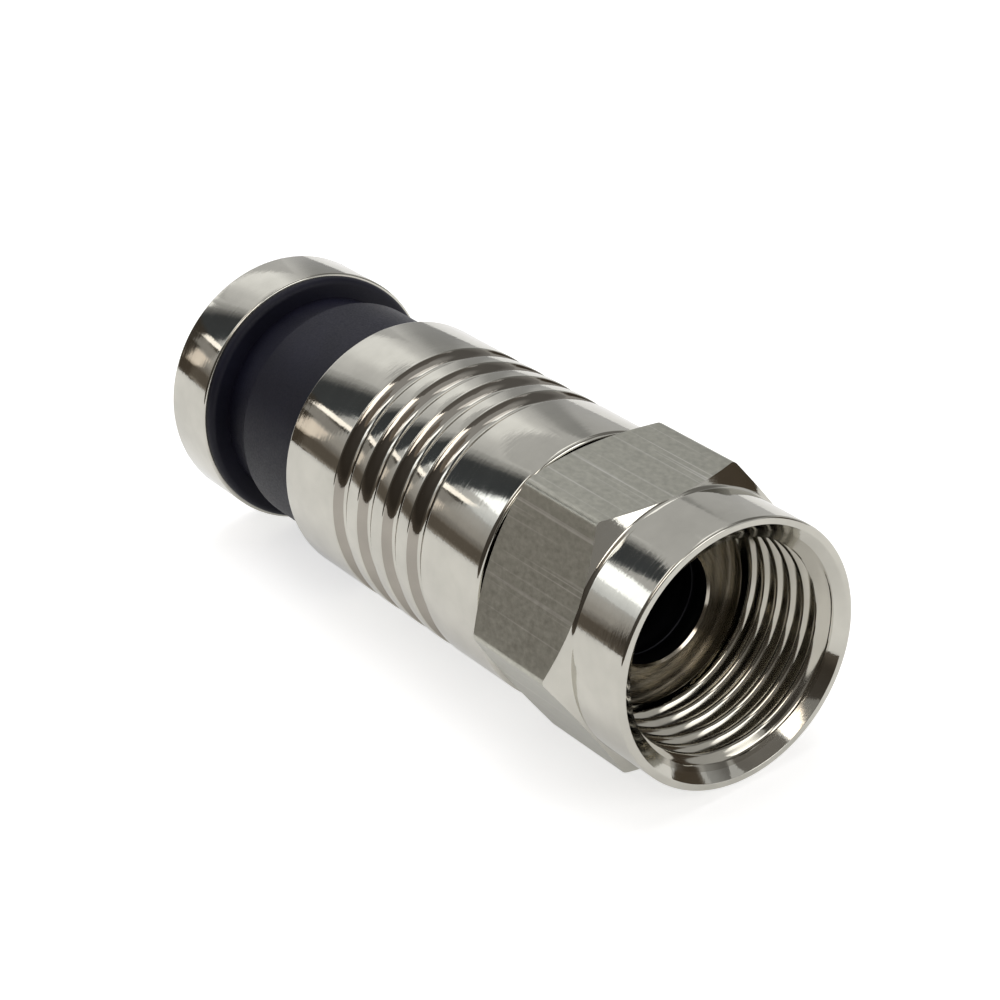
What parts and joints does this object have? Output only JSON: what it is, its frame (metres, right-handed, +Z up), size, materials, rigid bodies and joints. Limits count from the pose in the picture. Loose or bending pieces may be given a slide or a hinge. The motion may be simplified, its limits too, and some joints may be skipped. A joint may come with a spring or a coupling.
{
  "type": "f connector",
  "caption": "Compression coaxial plug: threaded swivel hexagon nut, grooved metal barrel, hollow post, and a black sliding sleeve with a metal end ring.",
  "frame": {"origin": "on the axis, in the seat plane that the mating port's end meets", "axes": "+X along the axis towards the cable, the nut's mouth on the -X side, +Z up through a flat of the hexagon"},
  "size_m": [0.0328, 0.0128, 0.0114],
  "materials": {
    "plated_nut": "turned brass with bright nickel plating",
    "plated_barrel": "turned brass with bright nickel plating",
    "plated_post": "turned brass with nickel plating",
    "plated_ring": "turned brass with bright nickel plating",
    "black_plastic": "fine matt moulded"
  },
  "bodies": {
    "shell": {"connector_body": "plated_barrel", "inner_post": "plated_post"},
    "nut": {"coupling_nut": "plated_nut"},
    "rear": {"compression_sleeve": "black_plastic", "end_ring": "plated_ring"}
  },
  "joints": [
    {"name": "nut_spin", "type": "hinge", "parent": "shell", "child": "nut", "pos_m": [0, 0, 0], "axis": [1, 0, 0], "continuous": true},
    {"name": "sleeve_press", "type": "slide", "parent": "shell", "child": "rear", "axis": [-1, 0, 0], "range_m": [0, 0.0064]}
  ]
}
